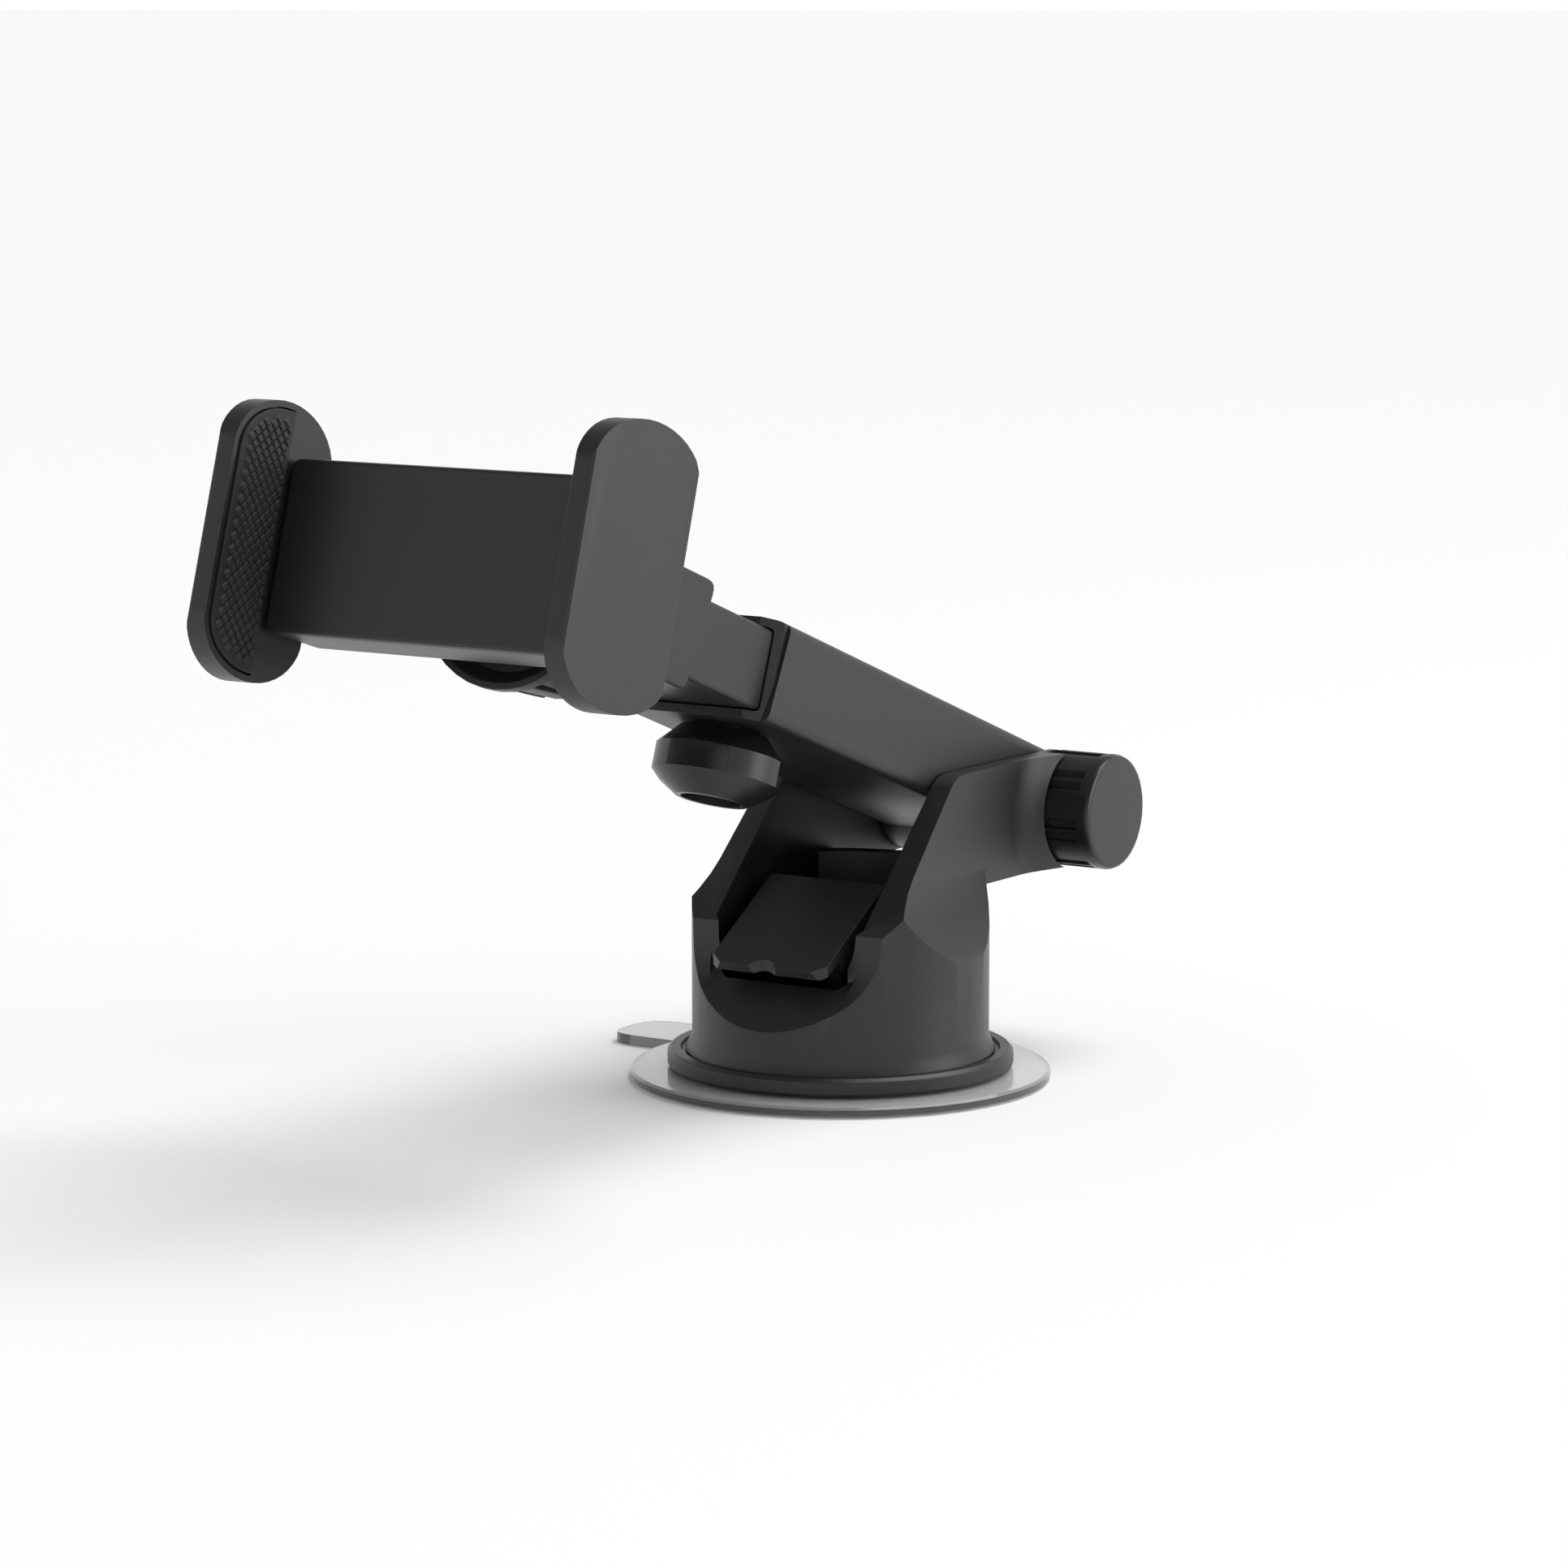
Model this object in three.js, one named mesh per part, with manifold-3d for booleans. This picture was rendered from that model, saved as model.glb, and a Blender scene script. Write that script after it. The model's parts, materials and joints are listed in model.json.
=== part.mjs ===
// Car phone mount: suction base, pivoting telescopic arm, ball joint and sprung clamp cradle.
// Millimetres. +Z is up, the arm reaches out towards -Y and the arm knob is on the +X side.
// The origin is the centre of the suction pad's underside.
// The arm and the cradle are drawn in their own frames, which lean back about X:
// there -Y runs along the arm, or out of the cradle's face, and +Z is square to it.
import * as THREE from 'three';
import { mergeVertices } from 'three/addons/utils/BufferGeometryUtils.js';
import Module from 'manifold-3d';

const wasm = await Module();
wasm.setup();

// ---------------------------------------------------------------- driving dimensions
const gap = 0.3; // between pieces that touch or run on each other
const wide = 60; // longer than any cut has to be
const drumSides = 48; // facets of the largest round pieces

const padMargin = 6.2; // clear rim that shows around the base ring
const padThickness = 1.8;
const padHollowDepth = 0.5;
const padFilm = 0.8;
const tabReach = 49;
const tabWidth = 14;
const tabOffset = 9;

const ringMargin = 4.1; // how far the base ring stands out from the body
const ringHeight = 3.1;
const ringStep = 0.6;
const ringBore = 19;

const bodyRadius = 24.7;
const bodyWall = 3.5;
const collarFlare = 1.1;
const collarHeight = 2.5;
const floorUnderside = 8.5;
const floorThickness = 2;
const scoopTop = 27.3;
const scoopRadius = 17.9;
const frontCutDepth = 8.3; // how far the top of the scoop lies behind the body's front
const frontCutAngle = 45; // degrees above level
const frontWallDepth = 6.5;
const sillHeight = 15.9;
const sillAngle = 47;
const windowCorner = 3;
const flankStart = 14;
const flankEnd = 36;
const flankTurn = 3.5; // degrees that each flank is turned in towards the back
const flankPivotY = 14;

const pivotY = 43.1;
const pivotZ = 41.1;
const earHalfHeight = 9.7;
const rearWallRise = 3; // how far the rear wall stands above the undersides of the ears
const earThickness = 3.2;
const earCornerRadius = 6.5;
const earWeb = 1.3;
const earFlareHeight = 2.2;
const earFlareReach = 7;
const boltBossHeight = 3;
const boltRadius = 3;
const boltHeadRadius = 5.2;

const knobRadius = 9.8;
const knobEnd = 28;
const knobEdge = 1;
const knobSeat = 0.4; // ring of space between the knob and the ear around it
const flutePairs = 7;
const fluteRadius = 1.1;
const fluteSpread = 13; // degrees between the two flutes of a pair
const fluteStart = -13.4; // degrees above the front of the knob
const fluteEndMargin = 1.4;
const nutRadius = 5.6;
const nutHeight = 4.6;

const stemRadius = 3;
const stemFlangeRadius = 16;
const stemFlangeHeight = 1.6;
const stemRest = 2.6; // underside of the flange when the base is locked
const pinRadius = 1.2;
const pinZ = 22;
const leverHalfWidth = 11.1;
const leverWall = 1.6;
const leverTip = { y: -20.6, z: 23.3 };
const leverHeel = { y: -3.9, z: 33.7 };
const leverNose = 2.8; // the middle of the front edge stands this far out from its corners
const leverNoseCorner = 2.4;
const camRadius = 3.8;
const camThrow = 1.4;
const camPhase = 30; // degrees forward of straight down

const armTilt = 20.1; // degrees above level
const armHalfWidth = 13.9;
const armTop = 9.4;
const armBottom = -7;
const armEdge = 1.75;
const armLength = 87.5;
const armEndSlant = 2;
const armTongue = 4;
const armWall = 1.7;
const armSolidEnd = 7.5;
const washerRadius = 8;
const washerThickness = 1.1;
const clampSetback = 7.5; // from the arm's end to the clamp knob's axis
const clampBossRadius = 5.6;
const clampBossDrop = 2.7;
const clampInsertRadius = 3.6;
const clampInsertHeight = 1.9;
const shoeRadius = 3.1;
const shoeThickness = 0.8;
const clampScrewRadius = 2;
const clampKnobRadius = 10.4;
const clampKnobHeight = 11.2;
const clampKnobBelt = 4.2;
const clampLobes = 3;
const clampLobePhase = 102; // degrees, first lobe
const clampScoopDepth = 2.6;
const clampRecessRadius = 5;

const stowRoom = 14.5; // how far the inner arm can still slide in
const innerWall = 1.8;
const innerRib = 1.2;
const innerShown = 22.8; // how much of the inner arm shows before the head
const headLength = 11.2;
const headSlant = 3;
const headHalfWidth = 14;
const headWall = 2.2;
const headNose = 3;
const headEdge = 2;

const ballReach = 10.5; // from the head's front to the ball's centre
const ballRadius = 7;
const neckRadius = 3.4;
const studRadius = 2.5;
const studNutRadius = 4;
const studNutHeight = 3.2;
const linerThickness = 1.2;
const cupThickness = 2.2;
const cupFlangeRadius = 12.5;
const cupFlangeThickness = 2;

const cradleTilt = 17;
const trayBackAt = 18; // from the ball's centre
const trayBackThickness = 2.2;
const trayFrontAt = 30.3;
const trayHalfLength = 30.4;
const trayHalfHeight = 13.4;
const trayEdge = 1.6;
const trayWall = 2;
const nutRimRadius = 16.5;
const nutRimAt = 11.8;
const nutShoulderAt = 9;
const nutRearRadius = 15.2;
const nutRearAt = -3.6;
const nutGrooves = 20;
const nutGrooveWidth = 1.9;

const jawThickness = 3.4; // at the front edge
const jawRearThickness = 6.3;
const jawRearAt = 20;
const jawFrontAt = 44;
const jawHalfHeight = 21.3;
const jawStraight = 12.6; // half length of the straight edges, between the round ends
const jawBevel = 0.9;
const jawOpening = 12; // how far each jaw slides out
const padRecess = 1.2;
const padProud = 0.4;
const padInset = 1.3;
const gearTeeth = 10;
const hubWall = 1.45; // between the gear's bore and the roots of its teeth
const gearThickness = 4.5;
const gearAt = 22.4; // rear face of the gear and racks, from the ball's centre
const rackBack = 2.4; // solid part of a rack behind its teeth
const springRoom = 2.75; // lane for a spring between a rack's back and the tray's wall
const springRadius = 0.8;
const springWire = 0.25;
const springTurns = 8;
const screwRadius = 1.2;
const screwHeadRadius = 2.2;
const screwHeadHeight = 1.2;

// ---------------------------------------------------------------- derived sizes
const ringRadius = bodyRadius + ringMargin;
const padRadius = ringRadius + padMargin;
const clampAt = armLength - clampSetback;
const innerStart = armSolidEnd + stowRoom;
const headRear = armLength + innerShown;
const headFront = headRear + headLength;
const ballAt = headFront + ballReach;
const jawInner = trayHalfLength + gap;
const ringBottom = padThickness + gap;
const ringTop = ringBottom + ringHeight;
const bodyBottom = ringTop - ringStep + gap;
const floorTop = floorUnderside + floorThickness;
const earInner = armHalfWidth + 0.4;
const earOuter = earInner + earThickness;
const earTop = pivotZ + earHalfHeight;
const earBottom = pivotZ - earHalfHeight;
const armMiddle = (armTop + armBottom) / 2;
const innerHalfWidth = armHalfWidth - armWall - gap;
const innerTop = armTop - armWall + 0.3 - gap;
const innerBottom = armBottom + armWall - 0.3 + gap;
const rackDepth = trayHalfHeight - trayWall - springRoom - rackBack;
const gearModule = rackDepth / (gearTeeth / 2 + 1.25);
const pitchRadius = (gearModule * gearTeeth) / 2;
const gearRoot = pitchRadius - 1.25 * gearModule;
const gearPostRadius = gearRoot - hubWall - gap;
const toothPitch = Math.PI * gearModule;

// ---------------------------------------------------------------- solid helpers
const degrees = THREE.MathUtils.degToRad;

function facedOutwards(position, index) {
  const kept = [];
  let volume = 0;
  const [a, b, c] = [new THREE.Vector3(), new THREE.Vector3(), new THREE.Vector3()];
  for (let i = 0; i < index.count; i += 3) {
    const [p, q, r] = [index.getX(i), index.getX(i + 1), index.getX(i + 2)];
    if (p === q || q === r || r === p) continue;
    kept.push(p, q, r);
    a.fromBufferAttribute(position, p);
    b.fromBufferAttribute(position, q);
    c.fromBufferAttribute(position, r);
    volume += a.dot(b.cross(c));
  }
  return volume < 0 ? kept.reverse() : kept;
}

function solid(geometry) {
  const bare = geometry.clone();
  bare.deleteAttribute('normal');
  bare.deleteAttribute('uv');
  const welded = mergeVertices(bare, 1e-4);
  return new wasm.Manifold(new wasm.Mesh({
    numProp: 3,
    vertProperties: new Float32Array(welded.attributes.position.array),
    triVerts: new Uint32Array(facedOutwards(welded.attributes.position, welded.index)),
  }));
}

// Turns that lay a shape drawn about Y, or extruded along Z, along another direction.
const aboutAxis = {
  x: (geometry) => geometry.rotateZ(-Math.PI / 2),
  z: (geometry) => geometry.rotateX(Math.PI / 2),
  front: (geometry) => geometry.rotateX(Math.PI),
};
const extrudeBasis = {
  x: [[0, 1, 0], [0, 0, 1], [1, 0, 0]],
  z: [[1, 0, 0], [0, 1, 0], [0, 0, 1]],
  front: [[1, 0, 0], [0, 0, 1], [0, -1, 0]],
};

function box(x0, x1, y0, y1, z0, z1) {
  const shape = new THREE.BoxGeometry(x1 - x0, y1 - y0, z1 - z0);
  return solid(shape.translate((x0 + x1) / 2, (y0 + y1) / 2, (z0 + z1) / 2));
}

// A cylinder or prism along an axis, between two distances on it.
function rod(axis, radius, from, to, [x, y, z] = [0, 0, 0], sides = 32) {
  const shape = new THREE.CylinderGeometry(radius, radius, to - from, sides);
  shape.translate(0, (from + to) / 2, 0);
  return solid(aboutAxis[axis](shape).translate(x, y, z));
}

// A turned solid. Each profile point is [radius, distance along the axis].
function turned(axis, profile, [x, y, z] = [0, 0, 0], sides = 40) {
  const points = profile.map(([radius, along]) => new THREE.Vector2(radius, along));
  return solid(aboutAxis[axis](new THREE.LatheGeometry(points, sides)).translate(x, y, z));
}

// A closed outline through corners [u, v, rounding].
function outline(corners) {
  const shape = new THREE.Shape();
  corners.forEach(([u, v, rounding = 0], i) => {
    const corner = new THREE.Vector2(u, v);
    const toBefore = new THREE.Vector2(...corners.at(i - 1).slice(0, 2)).sub(corner);
    const toAfter = new THREE.Vector2(...corners[(i + 1) % corners.length].slice(0, 2)).sub(corner);
    const reach = rounding / Math.tan(toBefore.angleTo(toAfter) / 2);
    const start = corner.clone().add(toBefore.setLength(reach));
    const end = corner.clone().add(toAfter.setLength(reach));
    if (i === 0) shape.moveTo(start.x, start.y);
    else shape.lineTo(start.x, start.y);
    if (rounding > 0) shape.quadraticCurveTo(u, v, end.x, end.y);
  });
  return shape;
}

function rectangle(u0, u1, v0, v1, rounding = 0) {
  return outline([[u0, v0, rounding], [u1, v0, rounding], [u1, v1, rounding], [u0, v1, rounding]]);
}

// An outline pushed along an axis; bevel rounds the far edge, or both.
function plate(axis, shape, from, to, bevel = 0, curveSegments = 4) {
  const settings = { depth: to - from - 2 * bevel, steps: 1, curveSegments, bevelEnabled: bevel > 0 };
  Object.assign(settings, { bevelThickness: bevel, bevelSize: bevel, bevelOffset: -bevel });
  settings.bevelSegments = 2;
  const geometry = new THREE.ExtrudeGeometry(shape, settings).translate(0, 0, from + bevel);
  const [u, v, along] = extrudeBasis[axis].map((direction) => new THREE.Vector3(...direction));
  return solid(geometry.applyMatrix4(new THREE.Matrix4().makeBasis(u, v, along)));
}

const joined = (first, ...others) => others.reduce((all, one) => all.add(one), first);
const without = (first, ...tools) => tools.reduce((rest, tool) => rest.subtract(tool), first);

const plastic = { color: 0x2c2c2e, roughness: 0.5, metalness: 0 };
const rubber = { color: 0x1d1d1f, roughness: 0.85, metalness: 0 };
const steel = { color: 0xb4b6ba, roughness: 0.32, metalness: 1 };
const brass = { color: 0xb9975a, roughness: 0.35, metalness: 1 };
const nylon = { color: 0xd8d6cc, roughness: 0.55, metalness: 0 };
const clearGel = { color: 0xe9edef, roughness: 0.12, metalness: 0 };

function piece(frame, name, shape, finish) {
  const cut = shape.getMesh();
  const geometry = new THREE.BufferGeometry();
  geometry.setAttribute('position', new THREE.BufferAttribute(cut.vertProperties, 3));
  geometry.setIndex(new THREE.BufferAttribute(cut.triVerts, 1));
  geometry.computeVertexNormals();
  const mesh = new THREE.Mesh(geometry, new THREE.MeshStandardMaterial(finish));
  mesh.name = name;
  frame.add(mesh);
}

// A pan-head screw pointing up its axis, its head's underside at the seat.
function screw(axis, seat, tip, at) {
  return joined(
    rod(axis, screwHeadRadius, seat - screwHeadHeight, seat, at, 20),
    rod(axis, screwRadius, seat - 0.1, tip, at, 16),
  );
}

function screwHole(axis, seat, tip, mouth, at) {
  return joined(
    rod(axis, screwHeadRadius + gap, mouth, seat + gap, at, 20),
    rod(axis, screwRadius + gap, mouth, tip + gap, at, 16),
  );
}

// ---------------------------------------------------------------- suction base
const base = new THREE.Group();

const ringScrewRadius = bodyRadius - bodyWall / 2;
const ringScrewPlaces = [90, 210, 330].map((angle) => [
  ringScrewRadius * Math.cos(degrees(angle)),
  ringScrewRadius * Math.sin(degrees(angle)),
  0,
]);
const ringScrewSeat = ringBottom + gap + screwHeadHeight;
const ringScrewTip = bodyBottom + 7;

function suctionPad() {
  const hollowRim = stemFlangeRadius + 4;
  const disc = turned('z', [
    [0, padHollowDepth], [hollowRim, padHollowDepth], [hollowRim + 4, 0], [padRadius - 0.5, 0],
    [padRadius, 0.4], [padRadius, padThickness - 0.4], [padRadius - 0.4, padThickness],
    [stemFlangeRadius + 1.5, padThickness],
    [stemFlangeRadius + 1, padHollowDepth + padFilm], [0, padHollowDepth + padFilm],
  ], [0, 0, 0], drumSides);
  const tab = rectangle(
    -tabReach, 12 - padRadius, tabOffset - tabWidth / 2, tabOffset + tabWidth / 2, tabWidth * 0.4,
  );
  return disc.add(plate('z', tab, 0, padThickness));
}

function baseRing() {
  const step = ringTop - ringStep;
  const lip = bodyRadius + collarFlare + 0.8;
  const ring = turned('z', [
    [ringBore, ringBottom], [ringRadius - 0.5, ringBottom], [ringRadius, ringBottom + 0.5],
    [ringRadius, ringTop - 0.6], [ringRadius - 0.6, ringTop], [lip, ringTop], [lip - 0.2, step],
    [ringBore, step], [ringBore, ringBottom],
  ], [0, 0, 0], drumSides);
  const holes = ringScrewPlaces.map((at) => screwHole('z', ringScrewSeat, ringScrewTip, 0, at));
  return without(ring, ...holes);
}

// What lies outside one flank. The flank draws in from the round base to the flat ear.
function flankCut(side) {
  const steps = 10;
  const shape = new THREE.Shape().moveTo(side * wide, 0);
  shape.lineTo(side * wide, wide);
  shape.lineTo(side * earOuter, wide);
  for (let i = steps; i >= 0; i -= 1) {
    const blend = THREE.MathUtils.smoothstep(i / steps, 0, 1);
    const x = THREE.MathUtils.lerp(bodyRadius + collarFlare, earOuter, blend);
    shape.lineTo(side * x, THREE.MathUtils.lerp(flankStart, flankEnd, i / steps));
  }
  shape.lineTo(side * (bodyRadius + collarFlare), 0);
  return plate('front', shape, -wide, wide).translate([0, -flankPivotY, 0])
    .rotate([0, 0, side * flankTurn]).translate([0, flankPivotY, 0]);
}

// The body and ears seen from the side: front cut, top edge and round end.
function sideShape() {
  const cutY = frontCutDepth - bodyRadius;
  const rise = earTop - scoopTop;
  const cornerY = cutY + rise / Math.tan(degrees(frontCutAngle));
  const turn = earCornerRadius * Math.tan(degrees(frontCutAngle / 2));
  const slopeY = cornerY - turn * Math.cos(degrees(frontCutAngle));
  const slopeZ = earTop - turn * Math.sin(degrees(frontCutAngle));
  const shape = new THREE.Shape();
  shape.moveTo(-wide, 0);
  shape.lineTo(wide / 2, 0);
  shape.lineTo(wide / 2, earBottom);
  shape.lineTo(pivotY, earBottom);
  shape.absarc(pivotY, pivotZ, earHalfHeight, -Math.PI / 2, Math.PI / 2, false);
  shape.lineTo(cornerY + turn, earTop);
  shape.quadraticCurveTo(cornerY, earTop, slopeY, slopeZ);
  shape.lineTo(cutY, scoopTop);
  shape.lineTo(-wide, scoopTop);
  return shape;
}

function baseBody() {
  const cutY = frontCutDepth - bodyRadius;
  const wallY = frontWallDepth - bodyRadius;
  const drum = turned('z', [
    [0, bodyBottom], [bodyRadius + collarFlare, bodyBottom], [bodyRadius, bodyBottom + collarHeight],
    [bodyRadius, wide], [0, wide],
  ], [0, 0, 0], drumSides);
  const earBars = joined(...[-1, 1].map((side) => {
    const inner = side * earInner;
    const outer = side * earOuter;
    return box(Math.min(inner, outer), Math.max(inner, outer), cutY, wide, earBottom, earTop);
  }));
  const boss = rod('x', earHalfHeight, -earOuter - boltBossHeight, -earInner, [0, pivotY, pivotZ], 40);
  const outside = without(drum, flankCut(-1), flankCut(1)).add(earBars).intersect(
    plate('x', sideShape(), -wide, wide, 0, 20),
  ).add(boss).add(earFlare());

  const armSlot = box(-earInner, earInner, -wide, wide * 2, earBottom + rearWallRise, wide).add(
    box(-earInner, earInner, bodyRadius + collarFlare, wide * 2, earBottom - 1, wide),
  );
  const cavity = rod('z', bodyRadius - bodyWall, floorTop, wide, [0, 0, 0], drumSides).intersect(
    box(-earInner, earInner, wallY, wide, floorTop, wide),
  );
  const underside = rod('z', bodyRadius - bodyWall, 0, floorUnderside, [0, 0, 0], drumSides);
  const scoop = rod('x', scoopRadius, -wide, wide, [0, cutY - scoopRadius, scoopTop], drumSides);
  const stemHole = rod('z', stemRadius + gap, 0, wide, [0, 0, 0], 32);
  const screwHoles = ringScrewPlaces.map((at) => screwHole('z', ringScrewSeat, ringScrewTip, 0, at));
  const shell = without(outside, armSlot, cavity, underside, scoop, sillCut(), stemHole, ...screwHoles);
  return without(joined(shell, ...camSeats()), ...pivotCuts());
}

// Cut above the sill, through the front wall only.
function sillCut() {
  const frontY = scoopFront(sillHeight);
  const rearY = frontWallDepth - bodyRadius + 1;
  const rise = (rearY - frontY) * Math.tan(degrees(sillAngle));
  const shape = rectangle(-earInner, earInner, sillHeight, scoopTop + 2, windowCorner);
  const tool = new THREE.ExtrudeGeometry(shape, {
    depth: rearY + bodyRadius, steps: 1, bevelEnabled: false, curveSegments: 6,
  });
  const [u, v, along] = extrudeBasis.front.map((direction) => new THREE.Vector3(...direction));
  tool.applyMatrix4(new THREE.Matrix4().makeBasis(u, v, along)).translate(0, rearY, 0);
  const slant = new THREE.Matrix4().makeShear(0, 0, 0, rise / (rearY - frontY), 0, 0);
  tool.translate(0, -frontY, 0).applyMatrix4(slant).translate(0, frontY, 0);
  return solid(tool);
}

// Where the scoop's surface lies at a height.
function scoopFront(z) {
  const centreY = frontCutDepth - bodyRadius - scoopRadius;
  return centreY + Math.sqrt(scoopRadius ** 2 - (scoopTop - z) ** 2);
}

const camCentre = {
  y: -camThrow * Math.sin(degrees(camPhase)),
  z: pinZ - camThrow * Math.cos(degrees(camPhase)),
};
const camSeatTop = camCentre.z - camRadius - gap;

function camSeats() {
  return [-1, 1].map((side) => {
    const middle = side * (leverHalfWidth - leverWall / 2);
    return box(middle - 1.4, middle + 1.4, -5, 4, floorTop - 0.5, camSeatTop);
  });
}

// The ear swells out around the knob like the mouth of a trumpet.
function earFlare() {
  const inner = knobRadius + knobSeat;
  const steps = 5;
  const curve = Array.from({ length: steps + 1 }, (_, i) => {
    const share = i / steps;
    return [inner + earFlareReach * share, earOuter + earFlareHeight * (1 - share) ** 2];
  });
  const ring = turned('x', [
    [inner, earOuter - 1], ...curve, [inner + earFlareReach, earOuter - 1], [inner, earOuter - 1],
  ], [0, pivotY, pivotZ], 40);
  return ring.intersect(box(0, wide, 0, pivotY, earBottom, earTop));
}

function pivotCuts() {
  const at = [0, pivotY, pivotZ];
  return [
    rod('x', boltRadius + gap, -wide, wide, at, 32),
    rod('x', boltHeadRadius + gap, -wide, -earOuter + 1, at, 6),
    rod('x', knobRadius + knobSeat, earInner + earWeb, wide, at, 40),
  ];
}

piece(base, 'suction_pad', suctionPad(), clearGel);
piece(base, 'base_ring', baseRing(), plastic);
piece(base, 'base_body', baseBody(), plastic);
ringScrewPlaces.forEach((at, i) => {
  piece(base, `ring_screw_${i + 1}`, screw('z', ringScrewSeat, ringScrewTip, at), steel);
});

// ---------------------------------------------------------------- lock
function plungerStem() {
  const flangeTop = stemRest + stemFlangeHeight;
  const post = turned('z', [
    [0, stemRest], [stemFlangeRadius, stemRest], [stemFlangeRadius, flangeTop],
    [stemRadius + 3, flangeTop], [stemRadius, floorUnderside - 1.5], [stemRadius, pinZ + 3.2],
    [0, pinZ + 3.2],
  ]);
  return post.subtract(rod('x', pinRadius + gap, -wide, wide, [0, 0, pinZ], 20));
}

// A channel: a flat top with two cheeks, which end in the cams.
function lockLever() {
  const along = new THREE.Vector2(leverTip.y - leverHeel.y, leverTip.z - leverHeel.z).normalize();
  const down = new THREE.Vector2(-along.y, along.x);
  const point = (start, forward, drop) => [
    start.y + along.x * forward + down.x * drop, start.z + along.y * forward + down.y * drop,
  ];
  const top = outline([
    point(leverHeel, 0, 0), point(leverTip, leverNose, 0), point(leverTip, leverNose, leverWall),
    point(leverHeel, 0, leverWall),
  ]);
  const cheek = outline([
    point(leverHeel, 0, 0), point(leverTip, -1.2, 0), point(leverTip, -2.4, 3.4),
    [camCentre.y - 3.2, camCentre.z - 2, 1], [camCentre.y + 3.4, camCentre.z - 1.6, 1],
  ]);
  const cheeks = [-1, 1].map((side) => {
    const outer = side * leverHalfWidth;
    const inner = side * (leverHalfWidth - leverWall);
    const [from, to] = [Math.min(inner, outer), Math.max(inner, outer)];
    return plate('x', cheek, from, to).add(
      rod('x', camRadius, from, to, [0, camCentre.y, camCentre.z], 40),
    );
  });
  const whole = joined(plate('x', top, -leverHalfWidth, leverHalfWidth), ...cheeks);
  const noseY = leverTip.y + leverNose * along.x;
  const fingerNotch = rod('z', 3.4, 0, wide, [-0.6, noseY - 1.9, 0], 28);
  const corners = [-1, 1].map((side) => {
    const [edge, inner] = [side * (leverHalfWidth + 1), side * (leverHalfWidth - leverNoseCorner)];
    const cut = outline([[edge, leverTip.y], [edge, noseY - 3], [inner, noseY - 3], [inner, noseY]]);
    return plate('z', cut, 0, wide);
  });
  const pinHole = rod('x', pinRadius + gap, -wide, wide, [0, 0, pinZ], 20);
  return without(whole, fingerNotch, ...corners, pinHole);
}

piece(base, 'plunger_stem', plungerStem(), plastic);
piece(base, 'lever_pin', rod('x', pinRadius, -leverHalfWidth - 0.6, leverHalfWidth + 0.6,
  [0, 0, pinZ], 20), steel);
piece(base, 'lock_lever', lockLever(), plastic);

// ---------------------------------------------------------------- arm pivot
const boltHeadInner = -earOuter + 1 - gap;
const boltEnd = knobEnd - 4;
const knobBack = earInner + earWeb + gap;

function pivotBolt() {
  const at = [0, pivotY, pivotZ];
  return joined(
    rod('x', boltHeadRadius, -earOuter - boltBossHeight + 0.4, boltHeadInner, at, 6),
    rod('x', boltRadius, boltHeadInner - 0.1, boltEnd, at, 28),
  );
}

function pivotKnob() {
  const at = [0, pivotY, pivotZ];
  const body = turned('x', [
    [0, knobBack], [knobRadius, knobBack], [knobRadius, knobEnd - knobEdge],
    [knobRadius - 0.3, knobEnd - 0.3], [knobRadius - knobEdge, knobEnd], [0, knobEnd],
  ], at, 40);
  const flutes = [];
  for (let pair = 0; pair < flutePairs; pair += 1) {
    for (const side of [-0.5, 0.5]) {
      const angle = degrees(fluteStart + (360 / flutePairs) * pair + fluteSpread * side);
      const reach = knobRadius + fluteRadius * 0.3;
      const place = [0, pivotY - reach * Math.cos(angle), pivotZ + reach * Math.sin(angle)];
      flutes.push(rod('x', fluteRadius, 0, knobEnd - knobEdge - fluteEndMargin, place, 6));
    }
  }
  const bore = rod('x', boltRadius + gap, 0, boltEnd + gap, at, 28);
  const nutPocket = rod('x', nutRadius + gap, 0, knobBack + nutHeight + gap, at, 6);
  return without(body, ...flutes, bore, nutPocket);
}

function pivotNut() {
  const at = [0, pivotY, pivotZ];
  return rod('x', nutRadius, knobBack + 0.1, knobBack + nutHeight, at, 6).subtract(
    rod('x', boltRadius + gap, 0, wide, at, 28),
  );
}

piece(base, 'pivot_bolt', pivotBolt(), steel);
piece(base, 'pivot_knob', pivotKnob(), plastic);
piece(base, 'pivot_nut', pivotNut(), steel);

// ---------------------------------------------------------------- telescopic arm
const arm = new THREE.Group();
arm.position.set(0, pivotY, pivotZ);
arm.rotation.x = -degrees(armTilt);

const armBase = armBottom + armWall - 0.3; // inside face of the tube's lower wall
const shoeFloor = armBase - shoeThickness - 0.1;
const insertCeiling = shoeFloor - 0.9;
const bossBottom = armBottom - clampBossDrop;

// The tube's end: a slanted face with a tongue on the top and bottom walls.
function tubeEndTool() {
  const tongueHalf = armHalfWidth - 3.6;
  const slanted = outline([
    [-armLength, armTop + 1], [-armLength - armEndSlant, armBottom - 1],
    [-armLength - wide, armBottom - 1], [-armLength - wide, armTop + 1],
  ]);
  const tongue = outline([
    [-armHalfWidth + 0.6, -armLength + 3], [armHalfWidth - 0.6, -armLength + 3],
    [armHalfWidth - 0.6, -armLength - 1.2], [tongueHalf, -armLength - armTongue],
    [-tongueHalf, -armLength - armTongue], [-armHalfWidth + 0.6, -armLength - 1.2],
  ]);
  return plate('x', slanted, -wide, wide).subtract(
    plate('z', tongue, armBottom - 2, armTop + 2),
  );
}

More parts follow.
